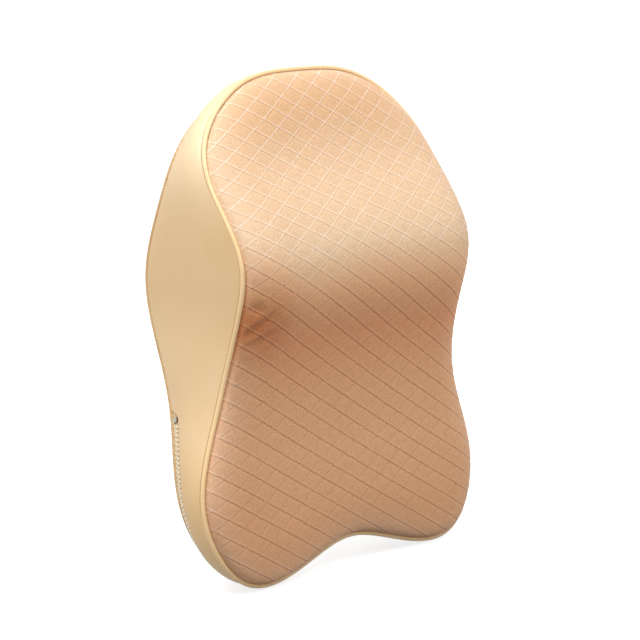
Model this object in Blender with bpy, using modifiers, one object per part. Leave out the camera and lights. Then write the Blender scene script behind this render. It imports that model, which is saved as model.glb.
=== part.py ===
"""Car neck pillow: a moulded foam core in a sewn cover, held to the seat by an elastic strap.

The pillow stands upright with its front towards -Y. The origin is the middle of the flat zone
on its back, where it bears on the seat. Lengths are in metres.
"""

import math

import bmesh
import bpy
import numpy as np
from mathutils import Matrix, Vector

for thing in list(bpy.data.objects):
    bpy.data.objects.remove(thing, do_unlink=True)

# Outline of the front seam, seen from the front: right half, from the top down (x, height).
OUTLINE = [
    (0.0, 0.300),      # top
    (0.052, 0.294),    # crown
    (0.095, 0.260),    # shoulder
    (0.1025, 0.222),   # neck bulge
    (0.102, 0.181),    # waist
    (0.107, 0.108),    # hip
    (0.122, 0.049),    # lobe
    (0.097, 0.0045),   # foot of the lobe
    (0.047, 0.005),    # side of the arch
    (0.0, 0.0155),     # arch
]

# Side profile: how far each seam lies in front of the seat, at heights from the bottom.
FRONT_SEAM = [
    (0.0, 0.088),
    (0.060, 0.077),
    (0.120, 0.077),
    (0.165, 0.088),
    (0.195, 0.091),    # crest of the neck bulge
    (0.240, 0.065),
    (0.300, 0.041),
]
REAR_SEAM = [
    (0.0, 0.058),
    (0.060, 0.051),
    (0.120, 0.026),
    (0.180, 0.008),
    (0.240, 0.025),
    (0.300, 0.028),
]
REAR_TAPER = 0.955         # the rear outline against the front one
CREST_HEIGHT = 0.190       # top of the neck bulge; the front panel's rings close in on it
REST_HEIGHT = 0.163        # where the flat back bears on the seat; the same for the back

FRONT_CROWN = 0.011        # how far the front panel swells past its seam
FRONT_ROLL = 0.030         # the swell rises over this width from the panel's edge
BACK_CROWN = 0.014         # the same at the back, up to the flat zone
BACK_ROLL = 0.070
BACK_FALL = 0.0006         # the flat zone falls by about this from its middle to its edge
PANEL_REACH = 0.075        # from the end of the even insets to a panel's centre, about
FRONT_LIP = 0.0026         # the front panel's edge stands this far above the seam
BAND_BULGE = 0.003         # the side band swells outwards by this

COVER = 0.0025             # the cover's cloth with its sponge backing
CORE_DEPTH = 0.0042        # foam surface below the cover's outer surface
CORE_CORNER = 0.008        # the foam's edges are rounded off over this inset
CORE_SHOULDER = 0.016      # the foam's next ring lies this far in
GAP = 0.0003               # running gap between pieces that touch

PIPING_RADIUS = 0.0015
PIPING_FLANGE = 0.0045     # depth of the flange that is sewn into the seam
FLANGE_THICKNESS = 0.0008

ZIP_END_HEIGHT = 0.100     # both ends of the zip lie at this height on the sides
ZIP_SLOT = 0.0092          # width of the opening left for the zip in the rear margin
CHAIN_WIDTH = 0.0050
CHAIN_HEIGHT = 0.0028
CHAIN_PROUD = 0.0004       # the teeth stand this far out of the band's surface
TOOTH_PITCH = 0.00265
TOOTH_RELIEF = 0.0005      # depth of the notch between teeth
TAPE_WIDTH = 0.011
TAPE_THICKNESS = 0.0005
SLIDER_LENGTH = 0.0095
SLIDER_WIDTH = 0.0074
SLIDER_TOP = 0.0011        # the slider's back stands this far above the teeth
SLIDER_GRIP = 0.0035       # length of chain inside the slider
SLIDER_BEVEL = 0.0004      # rounding of the slider and the end stop
BAIL_RADIUS = 0.0023       # half the span of the wire arch that holds the tab
BAIL_RISE = 0.0021         # height of the arch, to the wire's middle
BAIL_WIRE = 0.0005         # the wire's radius
TAB_LENGTH = 0.020
TAB_WIDTH = 0.0060
TAB_THICKNESS = 0.0009
TAB_BEVEL = 0.0002
TAB_HOLE = 0.0023          # width of the hole for the bail
STOP_LENGTH = 0.0030

STRAP_HEIGHT = 0.198       # middle of the strap, from the bottom
STRAP_WIDTH = 0.025
STRAP_THICKNESS = 0.0014
STRAP_ANCHOR = 0.074       # outer end of each strap, from the middle
STRAP_HEM = 0.020          # length turned under and sewn at each anchor
STRAP_TAIL = 0.026         # sewn end of the webbing past each buckle bar
TAIL_RUN = 0.0072          # the webbing comes down off the bar over this length

BUCKLE_WIDTH = 0.034
BUCKLE_THICKNESS = 0.0085
BUCKLE_BEVEL = 0.0009
BAR_RADIUS = 0.00125       # the bars that the straps turn round
BAR_REACH = 0.0040         # from the buckle's body to the middle of each bar
SOCKET_LENGTH = 0.028
SOCKET_MOUTH = 0.008       # the socket's open end, right of the middle
SOCKET_WALL = 0.0015
PLUG_BASE = 0.0045         # length of the plug's solid end
PRONG_LENGTH = 0.0215
PRONG_THICKNESS = 0.0042
GUIDE_WIDTH = 0.0045       # the straight tongue between the spring prongs
PRONG_WIDTH = 0.0028
CATCH_LENGTH = 0.0055      # of each prong's catch, seen in the socket's side
CATCH_START = 0.0095       # from the plug's base to the catch

CUT_OVERRUN = 0.002        # a cutter reaches this far past the face that it opens

# Rings of points: even insets from the seam, then shares of the way out from the centre.
STATIONS = 72              # points round each seam
FRONT_INSETS = [0.0, 0.0030, 0.0075, 0.015, 0.030]
BACK_INSETS = [0.0, 0.005, 0.013, 0.027]
FRONT_SHARES = [0.82, 0.64, 0.46, 0.28, 0.12]
BACK_SHARES = [0.70, 0.45, 0.26, 0.12]
CORE_FRONT_SHARES = [1.0, 0.7, 0.4, 0.2]
CORE_BACK_SHARES = [1.0, 0.7, 0.35]
CORNER_SHARE = 0.3         # most of the band's width that one foam corner takes


def smooth_curve(knots, values, closed=False):
    """Cubic spline through the values: natural at its ends, or one closed loop."""
    t = np.asarray(knots, float)
    v = np.asarray(values, float)
    n = len(t)
    gap = np.diff(t)
    a = np.zeros((n, n))
    b = np.zeros(v.shape)
    for i in range(1, n - 1):
        a[i, i - 1:i + 2] = gap[i - 1], 2 * (gap[i - 1] + gap[i]), gap[i]
        b[i] = 6 * ((v[i + 1] - v[i]) / gap[i] - (v[i] - v[i - 1]) / gap[i - 1])
    a[0, 0] = 1
    a[-1, -1] = 1
    if closed:
        a[0, -1] = -1
        a[-1, -1] = 2 * (gap[0] + gap[-1])
        a[-1, 1] = gap[0]
        a[-1, -2] = gap[-1]
        b[-1] = 6 * ((v[1] - v[0]) / gap[0] - (v[-1] - v[-2]) / gap[-1])
    bend = np.linalg.solve(a, b)

    def at(s):
        i = int(np.clip(np.searchsorted(t, s, side="right") - 1, 0, n - 2))
        p = (t[i + 1] - s) / gap[i]
        q = 1 - p
        curl = (p ** 3 - p) * bend[i] + (q ** 3 - q) * bend[i + 1]
        return p * v[i] + q * v[i + 1] + curl * gap[i] ** 2 / 6

    return at


front_depth = smooth_curve(*zip(*FRONT_SEAM))
rear_depth = smooth_curve(*zip(*REAR_SEAM))


def seam_loop():
    """Points and outward normals (x, height) at even steps round the front outline."""
    half = np.array(OUTLINE)
    loop = np.concatenate([half, half[1:-1][::-1] * [-1, 1], half[:1]])
    chords = np.hypot(*np.diff(loop, axis=0).T)
    knots = np.concatenate([[0], np.cumsum(np.sqrt(chords))])
    curve = smooth_curve(knots, loop, closed=True)
    fine = np.array([curve(s) for s in np.linspace(0, knots[-1], 20 * STATIONS + 1)])
    length = np.concatenate([[0], np.cumsum(np.hypot(*np.diff(fine, axis=0).T))])
    even = np.linspace(0, length[-1], STATIONS + 1)[:-1]
    points = np.stack([np.interp(even, length, fine[:, k]) for k in (0, 1)], 1)
    along = np.roll(points, -1, axis=0) - np.roll(points, 1, axis=0)
    along /= np.linalg.norm(along, axis=1)[:, None]
    normals = np.stack([-along[:, 1], along[:, 0]], 1)
    return points, normals, length[-1] / STATIONS


SEAM, NORMALS, STEP = seam_loop()
FRONT_EDGE = PIPING_RADIUS + GAP       # the front panel's edge clears the piping
BACK_EDGE = COVER + 2 * GAP            # the back panel's edge lies inside the band
FRONT_CENTRE = np.array([0.0, CREST_HEIGHT])
BACK_CENTRE = np.array([0.0, REST_HEIGHT])


def seam_at(i, taper=1.0):
    """Point and normal at a station; a fraction lies on the straight line between two."""
    a = int(math.floor(i))
    f = i - a
    a %= STATIONS
    b = (a + 1) % STATIONS
    point = SEAM[a] * (1 - f) + SEAM[b] * f
    normal = NORMALS[a] * (1 - f) + NORMALS[b] * f
    return BACK_CENTRE + (point - BACK_CENTRE) * taper, normal / np.linalg.norm(normal)


def swell(inset, share, edge, roll):
    """Rise of a panel above its seam, from 0 at its edge to 1 past the roll."""
    reach = inset - edge + (1 - share) * PANEL_REACH
    t = 1 - min(max(reach / roll, 0), 1)
    return math.sqrt(1 - t * t)


def front_point(i, inset, share=1.0):
    """On the front panel: so far in from the seam, then a share of the way from the centre."""
    point, normal = seam_at(i)
    x, z = FRONT_CENTRE + (point - normal * inset - FRONT_CENTRE) * share
    rise = (FRONT_CROWN - FRONT_LIP) * swell(inset, share, FRONT_EDGE, FRONT_ROLL)
    return Vector((x, -front_depth(z) - FRONT_LIP - rise, z))


def back_point(i, inset, share=1.0):
    """On the back panel, which flattens where it bears on the seat."""
    point, normal = seam_at(i, REAR_TAPER)
    x, z = BACK_CENTRE + (point - normal * inset - BACK_CENTRE) * share
    rise = BACK_CROWN * swell(inset, share, BACK_EDGE, BACK_ROLL)
    flat = -BACK_FALL * max(share - BACK_SHARES[-1], 0)
    return Vector((x, min(rise - rear_depth(z), flat), z))


def side_point(i, from_rear):
    """On the side band: so far from the rear seam towards the front one."""
    front, normal = seam_at(i)
    rear, _ = seam_at(i, REAR_TAPER)
    start = Vector((rear[0], -rear_depth(rear[1]), rear[1]))
    end = Vector((front[0], -front_depth(front[1]), front[1]))
    width = (end - start).length
    share = from_rear / width
    bulge = BAND_BULGE * math.sin(math.pi * share)
    return start.lerp(end, share) + Vector((normal[0], 0, normal[1])) * bulge


def band_width(i):
    """Distance between the two seams at a station."""
    front, _ = seam_at(i)
    rear, _ = seam_at(i, REAR_TAPER)
    rise = front_depth(front[1]) - rear_depth(rear[1])
    return math.hypot(rise, np.linalg.norm(front - rear))


def zip_stations():
    """First and last station of the zip: right-hand side, round the bottom, left-hand side."""
    right = [i for i in range(STATIONS // 2) if SEAM[i][1] < ZIP_END_HEIGHT]
    first = right[0]
    return float(first), float(STATIONS - first)


ZIP_START, ZIP_FINISH = zip_stations()
# The slot runs past the chain at both ends, for the slider and the end stop.
SLOT_START = math.floor(ZIP_START - (SLIDER_LENGTH - SLIDER_GRIP + GAP) / STEP)
SLOT_FINISH = math.ceil(ZIP_FINISH + (STOP_LENGTH + 2 * GAP) / STEP)


def slot_width(i):
    """Width that the band leaves for the zip at a station."""
    return ZIP_SLOT if SLOT_START <= i <= SLOT_FINISH else GAP


def material(name, colour, roughness, metallic=0.0):
    slot = bpy.data.materials.new(name)
    slot.use_nodes = True
    shader = slot.node_tree.nodes["Principled BSDF"]
    shader.inputs["Base Color"].default_value = (*colour, 1)
    shader.inputs["Roughness"].default_value = roughness
    shader.inputs["Metallic"].default_value = metallic
    return slot


def add_empty(name, parent, place):
    """A frame that other pieces are placed in."""
    empty = bpy.data.objects.new(name, None)
    empty.location = place
    empty.parent = parent
    pillow.objects.link(empty)
    return empty


def add_object(name, mesh, slot, parent, smooth=True):
    """A node of the pillow, placed in its parent frame."""
    mesh.materials.append(slot)
    if smooth:
        mesh.shade_smooth()
        mesh.set_sharp_from_angle(angle=math.radians(40))
    thing = bpy.data.objects.new(name, mesh)
    pillow.objects.link(thing)
    thing.parent = parent
    return thing


def grid_mesh(name, rows, closed, first_pole=None, last_pole=None, flat_start=False):
    """Faces between rows of points; a closed row is a ring, which a pole or a flat face ends."""
    shape = bmesh.new()
    made = [[shape.verts.new(p) for p in row] for row in rows]
    count = len(rows[0])
    for low, high in zip(made, made[1:]):
        for k in range(count if closed else count - 1):
            m = (k + 1) % count
            shape.faces.new((low[k], high[k], high[m], low[m]))
    for pole, ring, turn in ((first_pole, made[0], -1), (last_pole, made[-1], 1)):
        if pole is not None:
            tip = shape.verts.new(pole)
            for k in range(count):
                corner = [ring[(k + 1) % count], ring[k], tip]
                shape.faces.new(corner[::turn])
    if flat_start:
        shape.faces.new(made[0])
    shape.normal_update()
    mesh = bpy.data.meshes.new(name)
    shape.to_mesh(mesh)
    shape.free()
    return mesh


def sink(mesh, depth):
    """Moves a surface inwards by an even depth."""
    shape = bmesh.new()
    shape.from_mesh(mesh)
    shape.normal_update()
    moves = [(v, v.normal * depth * v.calc_shell_factor()) for v in shape.verts]
    for v, move in moves:
        v.co -= move
    shape.to_mesh(mesh)
    shape.free()


def cloth(name, mesh, slot, thickness):
    """A shell of cloth below its outer surface."""
    thing = add_object(name, mesh, slot, frame)
    shell = thing.modifiers.new("thickness", "SOLIDIFY")
    shell.thickness = thickness
    shell.offset = -1
    shell.use_even_offset = True
    return thing


def loft(name, sections, slot, parent, closed, smooth=True):
    """A solid through sections of equal count: a ring, or with both ends capped."""
    shape = bmesh.new()
    made = [[shape.verts.new(p) for p in section] for section in sections]
    count = len(sections[0])
    pairs = list(zip(made, made[1:]))
    if closed:
        pairs.append((made[-1], made[0]))
    else:
        shape.faces.new(made[0][::-1])
        shape.faces.new(made[-1])
    for low, high in pairs:
        for k in range(count):
            m = (k + 1) % count
            shape.faces.new((low[k], low[m], high[m], high[k]))
    bmesh.ops.recalc_face_normals(shape, faces=shape.faces)
    mesh = bpy.data.meshes.new(name)
    shape.to_mesh(mesh)
    shape.free()
    return add_object(name, mesh, slot, parent, smooth)


def make_front_panel():
    """The knit front panel, from the piping's edge to the middle."""
    ring = range(STATIONS)
    rows = [[front_point(i, FRONT_EDGE + inset) for i in ring] for inset in FRONT_INSETS]
    last = FRONT_EDGE + FRONT_INSETS[-1]
    rows += [[front_point(i, last, share) for i in ring] for share in FRONT_SHARES]
    mesh = grid_mesh("front_panel", rows, True, last_pole=front_point(0, last, 0))
    cloth("front_panel", mesh, knit, COVER)


def make_side_band():
    """The gusset between the two seams, cut back where the zip is set in."""
    ring = range(STATIONS)
    rows = []
    for share in (0.0, 0.2, 0.6, 1.0):
        row = []
        for i in ring:
            rear = slot_width(i)
            front = band_width(i) - FRONT_EDGE
            row.append(side_point(i, rear + (front - rear) * share))
        rows.append(row)
    cloth("side_band", grid_mesh("side_band", rows, True), leatherette, COVER)


def make_back_panel():
    """The rear panel, flat in the middle. Its edge is tucked inside the band's edge."""
    ring = range(STATIONS)
    rows = [[back_point(i, BACK_EDGE + inset) for i in ring] for inset in BACK_INSETS]
    last = BACK_EDGE + BACK_INSETS[-1]
    rows += [[back_point(i, last, share) for i in ring] for share in BACK_SHARES]
    mesh = grid_mesh("back_panel", rows[::-1], True, flat_start=True)
    cloth("back_panel", mesh, backing, COVER)


def make_foam_core():
    """One moulded body with rounded edges, an even depth below the cover."""
    ring = range(STATIONS)
    roll = FRONT_ROLL
    back = [[back_point(i, inset) for i in ring] for inset in (CORE_CORNER, CORE_SHOULDER)]
    back += [[back_point(i, roll, share) for i in ring] for share in CORE_BACK_SHARES]
    side = []
    for share in (0.0, 0.5, 1.0):
        row = []
        for i in ring:
            width = band_width(i)
            corner = min(CORE_CORNER, CORNER_SHARE * width)
            row.append(side_point(i, corner + (width - 2 * corner) * share))
        side.append(row)
    front = [[front_point(i, inset) for i in ring] for inset in (CORE_CORNER, CORE_SHOULDER)]
    front += [[front_point(i, roll, share) for i in ring] for share in CORE_FRONT_SHARES]
    mesh = grid_mesh("foam_core", back[::-1] + side + front, True,
                     first_pole=back_point(0, roll, 0), last_pole=front_point(0, roll, 0))
    sink(mesh, CORE_DEPTH)
    add_object("foam_core", mesh, foam, frame)


def make_piping():
    """A covered cord in the front seam, with the flange by which it is sewn in."""
    lip = math.asin(FLANGE_THICKNESS / 2 / PIPING_RADIUS)
    angles = np.linspace(-math.pi + lip, math.pi - lip, 9)
    sections = []
    for i in range(STATIONS):
        point, normal = seam_at(i)
        out = Vector((normal[0], 0, normal[1]))
        back = Vector((0, 1, 0))
        middle = Vector((point[0], -front_depth(point[1]), point[1]))
        section = [middle + PIPING_RADIUS * (out * math.cos(a) + back * math.sin(a))
                   for a in angles]
        for side in (1, -1):
            section.append(middle - out * PIPING_FLANGE + back * side * FLANGE_THICKNESS / 2)
        sections.append(section)
    loft("front_piping", sections, piping, frame, closed=True)


def zip_frame(i, from_rear):
    """Where the zip lies at a station: its place, and directions out, across and along."""
    here = side_point(i, from_rear)
    forward = side_point(i, from_rear + GAP) - here
    along = side_point(i + 0.5, from_rear) - side_point(i - 0.5, from_rear)
    along.normalize()
    across = (forward - along * forward.dot(along)).normalized()
    return here, across.cross(along), across, along


def make_zip_chain():
    """The closed teeth: a bar notched at every pitch, along the rear margin of the band."""
    middle = ZIP_SLOT / 2
    run = (ZIP_FINISH - ZIP_START) * STEP
    count = int(run / TOOTH_PITCH)
    sections = []
    for k in range(2 * count):
        i = ZIP_START + k * (ZIP_FINISH - ZIP_START) / (2 * count)
        relief = TOOTH_RELIEF * (k % 2)
        place, out, across, _ = zip_frame(i, middle)
        high = CHAIN_PROUD - relief
        low = CHAIN_PROUD - CHAIN_HEIGHT
        half = CHAIN_WIDTH / 2 - relief
        sections.append([place + out * high + across * half, place + out * high - across * half,
                         place + out * low - across * half, place + out * low + across * half])
    loft("zip_chain", sections, teeth, frame, closed=False, smooth=False)


def make_zip_tapes():
    """Two woven tapes: one under the band, one turned in under the back panel."""
    sunk = COVER + GAP
    stations = range(SLOT_START, SLOT_FINISH + 1)
    start = ZIP_SLOT / 2 + GAP / 2
    rows = [[side_point(i, start + TAPE_WIDTH * share) for i in stations]
            for share in (0.0, 0.5, 1.0)]
    mesh = grid_mesh("zip_front_tape", rows, False)
    sink(mesh, sunk)
    cloth("zip_front_tape", mesh, tape, TAPE_THICKNESS)
    rows = [[back_point(i, BACK_EDGE + TAPE_WIDTH * share) for i in stations]
            for share in (1.0, 0.5, 0.0)]
    mesh = grid_mesh("zip_rear_tape", rows, False)
    sink(mesh, sunk)
    cloth("zip_rear_tape", mesh, tape, TAPE_THICKNESS)


def box(name, low, high, bevel=0.0):
    """A box mesh between two corners, with its edges rounded off."""
    shape = bmesh.new()
    bmesh.ops.create_cube(shape, size=1)
    size = Vector(high) - Vector(low)
    middle = (Vector(high) + Vector(low)) / 2
    for v in shape.verts:
        v.co = Vector([c * s for c, s in zip(v.co, size)]) + middle
    if bevel:
        bmesh.ops.bevel(shape, geom=shape.edges[:], offset=bevel, segments=2, affect="EDGES")
    mesh = bpy.data.meshes.new(name)
    shape.to_mesh(mesh)
    shape.free()
    return mesh


def rod(name, start, end, radius, sides=12):
    """A round bar between two points."""
    shape = bmesh.new()
    run = Vector(end) - Vector(start)
    turn = run.to_track_quat("Z", "Y").to_matrix().to_4x4()
    place = Matrix.Translation((Vector(start) + Vector(end)) / 2) @ turn
    bmesh.ops.create_cone(shape, cap_ends=True, segments=sides, radius1=radius, radius2=radius,
                          depth=run.length, matrix=place)
    mesh = bpy.data.meshes.new(name)
    shape.to_mesh(mesh)
    shape.free()
    return mesh


def combine(thing, mesh, operation):
    """Joins a mesh to an object, or cuts it out of it."""
    tool = bpy.data.objects.new(mesh.name, mesh)
    cutters.objects.link(tool)
    tool.parent = thing
    tool.hide_render = True
    tool.display_type = "WIRE"
    step = thing.modifiers.new(mesh.name, "BOOLEAN")
    step.operation = operation
    step.object = tool
    step.solver = "EXACT"


def place_on_zip(thing, i):
    """Sets an object on the chain: X along the zip, Y towards the back, Z out of the band."""
    place, out, across, along = zip_frame(i, ZIP_SLOT / 2)
    turn = Matrix((along, -across, out)).transposed().to_4x4()
    thing.matrix_local = Matrix.Translation(place) @ turn


def make_zip_slider():
    """The runner astride the chain's end, with a wire bail for the tab on its back."""
    top = CHAIN_PROUD + SLIDER_TOP
    bottom = -COVER
    half = SLIDER_WIDTH / 2
    end = SLIDER_GRIP / 2
    body = box("zip_slider", (end - SLIDER_LENGTH, -half, bottom), (end, half, top), SLIDER_BEVEL)
    slider = add_object("zip_slider", body, metal, frame)
    channel = CHAIN_WIDTH / 2 + GAP
    combine(slider, box("chain_channel", (-end - GAP, -channel, bottom - CUT_OVERRUN),
                        (end + CUT_OVERRUN, channel, CHAIN_PROUD + GAP)), "DIFFERENCE")
    middle = end - SLIDER_LENGTH / 2
    arch = bpy.data.curves.new("bail", "CURVE")
    arch.dimensions = "3D"
    line = arch.splines.new("POLY")
    turns = [math.pi * k / 8 for k in range(9)]
    route = [(middle - BAIL_RADIUS, 0, top - BAIL_WIRE)]
    route += [(middle - BAIL_RADIUS * math.cos(a), 0, top + BAIL_RISE * math.sin(a))
              for a in turns]
    route += [(middle + BAIL_RADIUS, 0, top - BAIL_WIRE)]
    line.points.add(len(route) - 1)
    for point, place in zip(line.points, route):
        point.co = (*place, 1)
    arch.bevel_depth = BAIL_WIRE
    arch.bevel_resolution = 2
    arch.use_fill_caps = True
    guide = bpy.data.objects.new("bail_guide", arch)
    cutters.objects.link(guide)
    bpy.context.view_layer.update()
    wire = bpy.data.meshes.new_from_object(guide.evaluated_get(
        bpy.context.evaluated_depsgraph_get()))
    bpy.data.objects.remove(guide, do_unlink=True)
    shape = bmesh.new()
    shape.from_mesh(wire)
    bmesh.ops.remove_doubles(shape, verts=shape.verts, dist=0.00001)
    shape.to_mesh(wire)
    shape.free()
    wire.name = "bail"
    combine(slider, wire, "UNION")
    place_on_zip(slider, ZIP_START + SLIDER_GRIP / 2 / STEP)
    return slider


def make_zip_pull_tab(slider):
    """The tab, whose eye goes round the bail. It hangs down along the chain."""
    lift = CHAIN_PROUD + SLIDER_TOP + (BAIL_RISE - BAIL_WIRE) / 2
    hinge = add_empty("zip_tab_hinge", slider, ((SLIDER_GRIP - SLIDER_LENGTH) / 2, 0, lift))
    half = TAB_THICKNESS / 2
    plate = box("zip_pull_tab", (-half, -TAB_WIDTH / 2, -half),
                (TAB_LENGTH, TAB_WIDTH / 2, half), TAB_BEVEL)
    tab = add_object("zip_pull_tab", plate, metal, hinge)
    hole = box("bail_hole", (half, -TAB_HOLE / 2, -CUT_OVERRUN),
               (BAIL_RADIUS + BAIL_WIRE + 2 * GAP, TAB_HOLE / 2, CUT_OVERRUN))
    combine(tab, hole, "DIFFERENCE")


def make_zip_end_stop():
    """The stop past the last tooth on the left-hand side."""
    half = CHAIN_WIDTH / 2
    mesh = box("zip_end_stop", (GAP, -half, CHAIN_PROUD - CHAIN_HEIGHT),
               (GAP + STOP_LENGTH, half, CHAIN_PROUD + GAP), SLIDER_BEVEL)
    stop = add_object("zip_end_stop", mesh, metal, frame)
    place_on_zip(stop, ZIP_FINISH)


def strap_level():
    """Highest point of the back panel under the strap and the buckle, on the middle line."""
    reach = max(STRAP_WIDTH, BUCKLE_WIDTH) / 2
    heights = np.linspace(STRAP_HEIGHT - reach, STRAP_HEIGHT + reach, STATIONS)
    return max(min(BACK_CROWN - rear_depth(z), 0) for z in heights)


def ribbon(name, route, slot):
    """The webbing along a route of (x, y) points, its width upright on the back."""
    points = [Vector((x, y, 0)) for x, y in route]
    low = -STRAP_WIDTH / 2
    high = STRAP_WIDTH / 2
    sections = []
    for k, point in enumerate(points):
        before = (point - points[k - 1]).normalized() if k else None
        after = (points[k + 1] - point).normalized() if k + 1 < len(points) else None
        ahead = ((before or after) + (after or before)).normalized()
        side = Vector((-ahead.y, ahead.x, 0))
        half = STRAP_THICKNESS / 2 / max(ahead.dot(after or before), 0.5)
        a = point + side * half
        b = point - side * half
        sections.append([(a.x, a.y, low), (a.x, a.y, high), (b.x, b.y, high), (b.x, b.y, low)])
    loft(name, sections, slot, strap_frame, closed=False, smooth=False)


def arc(centre, radius, start, end, steps):
    """Points on an arc, angles in degrees."""
    turns = [math.radians(start + (end - start) * k / steps) for k in range(steps + 1)]
    return [(centre[0] + radius * math.cos(a), centre[1] + radius * math.sin(a)) for a in turns]


def make_strap(name, bar, side):
    """Webbing from its sewn hem at one side, round a buckle bar and back over itself."""
    layer = STRAP_THICKNESS + GAP
    under = GAP + STRAP_THICKNESS / 2
    over = under + layer
    tail = over + layer
    turn = BAR_RADIUS + GAP + STRAP_THICKNESS / 2
    anchor = STRAP_ANCHOR - layer
    drop = over + 2 * turn - tail - GAP
    lean = math.degrees(math.atan2(drop, TAIL_RUN))
    route = [(anchor - STRAP_HEM, under)]
    route += arc((anchor, (under + over) / 2), layer / 2, -90, 90, 6)
    route += arc((bar, over + turn), turn, -90, -270 - lean, 9)
    route += [(bar + TAIL_RUN, tail + GAP), (bar + TAIL_RUN + STRAP_TAIL, tail)]
    ribbon(name, [(side * x, y) for x, y in route], webbing)


def buckle_box(name, x0, x1, half_width, y0, y1, bevel=0.0):
    """A box of the buckle, centred on the strap."""
    return box(name, (min(x0, x1), y0, -half_width), (max(x0, x1), y1, half_width), bevel)


def make_buckle_end(name, body_end, bar, side, reach):
    """A buckle half's block with two ears and the bar between them, towards one side."""
    half = BUCKLE_WIDTH / 2
    ear_end = bar + side * BAR_RADIUS * 2
    block = buckle_box(name, reach, ear_end, half, GAP, GAP + BUCKLE_THICKNESS, BUCKLE_BEVEL)
    thing = add_object(name, block, plastic, strap_frame)
    window = STRAP_WIDTH / 2 + 3 * GAP
    top = GAP + BUCKLE_THICKNESS + CUT_OVERRUN
    combine(thing, buckle_box(name + "_window", body_end, ear_end + side * CUT_OVERRUN, window,
                              -CUT_OVERRUN, top), "DIFFERENCE")
    level = 2 * (STRAP_THICKNESS + GAP) + GAP + BAR_RADIUS
    ends = [(bar, level, k * (window + BUCKLE_BEVEL)) for k in (-1, 1)]
    combine(thing, rod(name + "_bar", *ends, BAR_RADIUS), "UNION")
    return thing


def make_buckle_socket():
    """The hollow half: its mouth takes the prongs, and its sides are open at the catches."""
    half = BUCKLE_WIDTH / 2
    body_end = SOCKET_MOUTH - SOCKET_LENGTH
    socket = make_buckle_end("buckle_socket", body_end, body_end - BAR_REACH, -1, SOCKET_MOUTH)
    floor = GAP + SOCKET_WALL
    roof = GAP + BUCKLE_THICKNESS - SOCKET_WALL
    mouth = SOCKET_MOUTH + CUT_OVERRUN
    combine(socket, buckle_box("socket_mouth", body_end + SOCKET_WALL, mouth,
                               half - SOCKET_WALL, floor, roof), "DIFFERENCE")
    catch = SOCKET_MOUTH + GAP - CATCH_START
    combine(socket, buckle_box("catch_windows", catch + 2 * GAP, catch - CATCH_LENGTH - 2 * GAP,
                               half + CUT_OVERRUN, floor, roof), "DIFFERENCE")


def make_buckle_plug():
    """The solid half, with a straight guide and two spring prongs that catch in the socket."""
    half = BUCKLE_WIDTH / 2
    face = SOCKET_MOUTH + GAP
    body_end = face + PLUG_BASE
    plug = make_buckle_end("buckle_plug", body_end, body_end + BAR_REACH, 1, face)
    tip = face - PRONG_LENGTH
    middle = GAP + BUCKLE_THICKNESS / 2
    inner = half - SOCKET_WALL - GAP - PRONG_WIDTH
    outer = inner + PRONG_WIDTH
    catch = face - CATCH_START
    right = [(face + PLUG_BASE / 2, outer), (catch, outer), (catch, half - GAP),
             (catch - CATCH_LENGTH / 2, half - GAP), (catch - CATCH_LENGTH, outer - GAP),
             (catch - CATCH_LENGTH, inner), (face - GAP, inner - PRONG_WIDTH / 2),
             (face - GAP, GUIDE_WIDTH / 2), (tip + GUIDE_WIDTH / 2, GUIDE_WIDTH / 2),
             (tip, GUIDE_WIDTH / 4)]
    outline = right + [(x, -z) for x, z in right[::-1]]
    shape = bmesh.new()
    low = middle - PRONG_THICKNESS / 2
    face_up = shape.faces.new([shape.verts.new((x, low, z)) for x, z in outline])
    lifted = bmesh.ops.extrude_face_region(shape, geom=[face_up])
    for v in [g for g in lifted["geom"] if isinstance(g, bmesh.types.BMVert)]:
        v.co.y += PRONG_THICKNESS
    bmesh.ops.recalc_face_normals(shape, faces=shape.faces)
    prongs = bpy.data.meshes.new("prongs")
    shape.to_mesh(prongs)
    shape.free()
    combine(plug, prongs, "UNION")


pillow = bpy.data.collections.new("car_neck_pillow")
bpy.context.scene.collection.children.link(pillow)
cutters = bpy.data.collections.new("cutters")
bpy.context.scene.collection.children.link(cutters)
frame = add_empty("pillow_frame", None, (0, 0, -REST_HEIGHT))
strap_frame = add_empty("strap_frame", frame, (0, strap_level(), STRAP_HEIGHT))

knit = material("diamond_knit", (0.80, 0.55, 0.34), 0.85)
leatherette = material("beige_leatherette", (0.86, 0.68, 0.43), 0.55)
backing = material("beige_backing", (0.78, 0.62, 0.42), 0.80)
piping = material("beige_piping", (0.90, 0.72, 0.44), 0.55)
foam = material("memory_foam", (0.92, 0.88, 0.72), 0.95)
teeth = material("nylon_teeth", (0.80, 0.68, 0.50), 0.45)
tape = material("zip_tape", (0.70, 0.56, 0.38), 0.85)
metal = material("zip_metal", (0.62, 0.60, 0.56), 0.35, 1.0)
webbing = material("elastic_webbing", (0.05, 0.05, 0.05), 0.90)
plastic = material("black_plastic", (0.03, 0.03, 0.03), 0.50)

make_foam_core()
make_front_panel()
make_side_band()
make_back_panel()
make_piping()
make_zip_chain()
make_zip_tapes()
make_zip_pull_tab(make_zip_slider())
make_zip_end_stop()
socket_bar = SOCKET_LENGTH - SOCKET_MOUTH + BAR_REACH
plug_bar = SOCKET_MOUTH + GAP + PLUG_BASE + BAR_REACH
make_strap("strap_left", socket_bar, -1)
make_strap("strap_right", plug_bar, 1)
make_buckle_socket()
make_buckle_plug()
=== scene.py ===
"""Car neck pillow, dressed: a moulded foam core in a sewn cover of diamond knit and leatherette."""

import math

import bmesh
import bpy
import numpy as np
from mathutils import Matrix, Vector
from mathutils.kdtree import KDTree


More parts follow.
